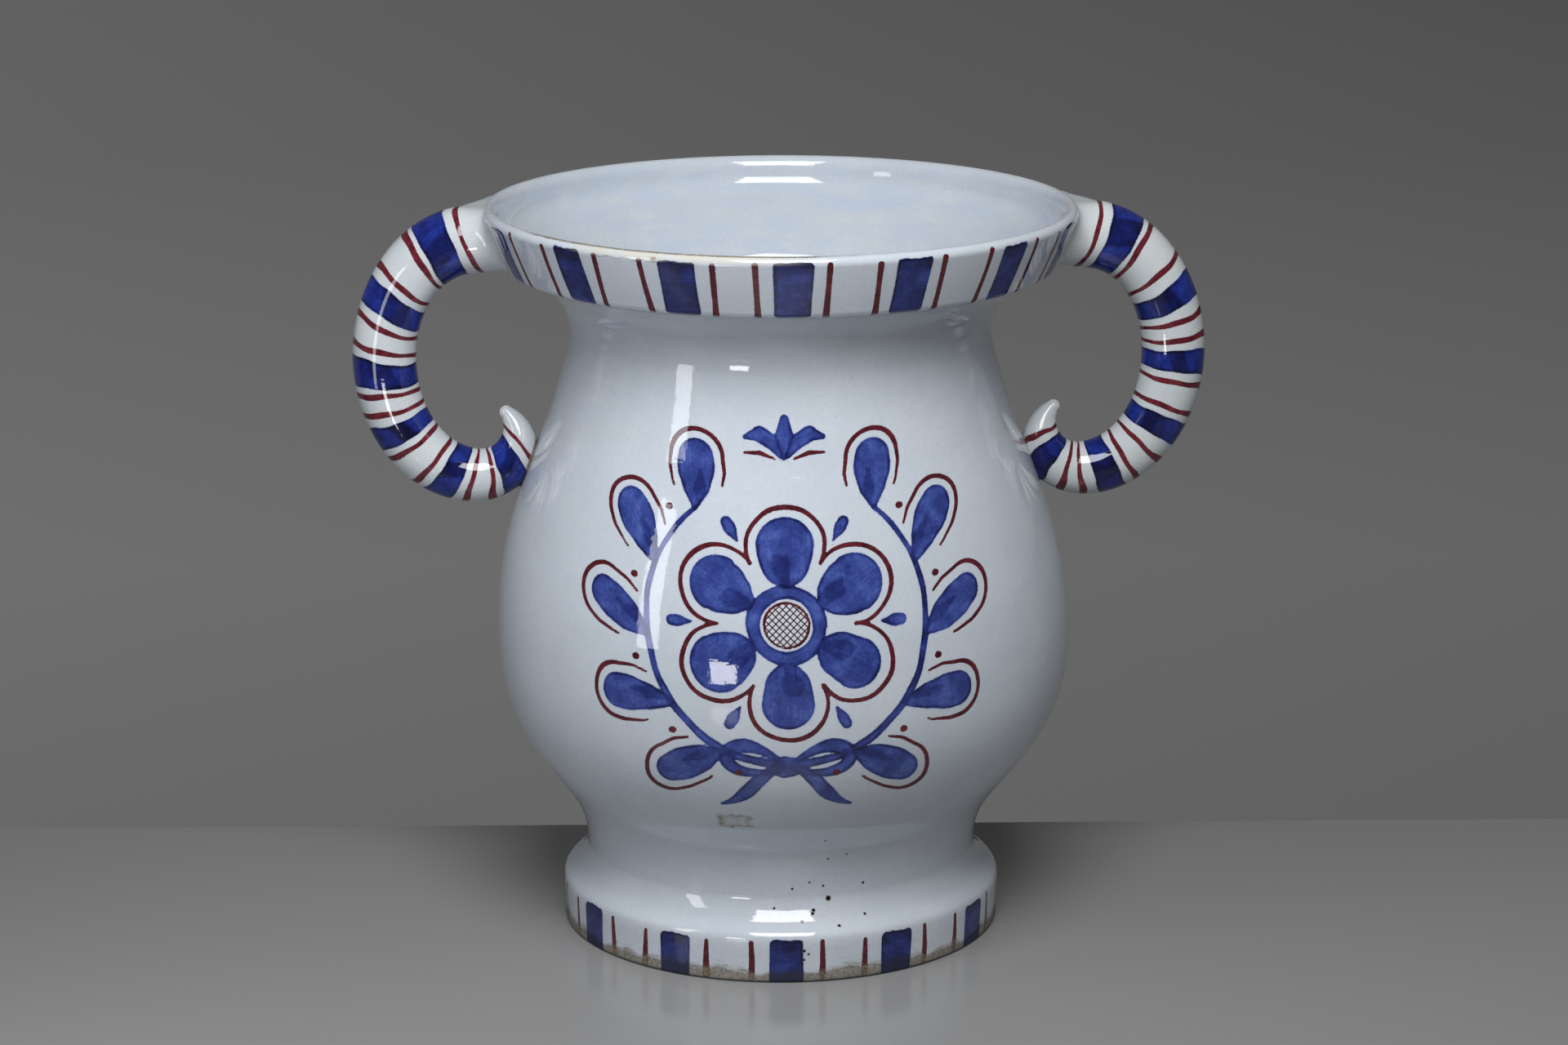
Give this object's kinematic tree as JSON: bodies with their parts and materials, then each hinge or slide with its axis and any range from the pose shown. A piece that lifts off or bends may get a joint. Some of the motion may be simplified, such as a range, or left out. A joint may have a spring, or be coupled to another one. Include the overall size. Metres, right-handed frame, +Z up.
{
  "type": "floor vase",
  "caption": "Wide-mouthed round-bodied floor vase on a hollow banded foot, with a striped collar and curled handles that rest on its shoulder.",
  "frame": {"origin": "centre of the foot on the floor, on the vase's axis", "axes": "+Z up along the vase's axis, X through the two handles, -Y to the viewer"},
  "size_m": [0.577, 0.4, 0.4992],
  "materials": {
    "glaze_bluish_white": "gloss",
    "glaze_warm_white": "gloss"
  },
  "bodies": {
    "root": {"foot": "glaze_bluish_white", "body": "glaze_bluish_white", "neck": "glaze_bluish_white", "collar": "glaze_bluish_white", "handle_left": "glaze_warm_white", "handle_right": "glaze_warm_white"}
  },
  "joints": []
}
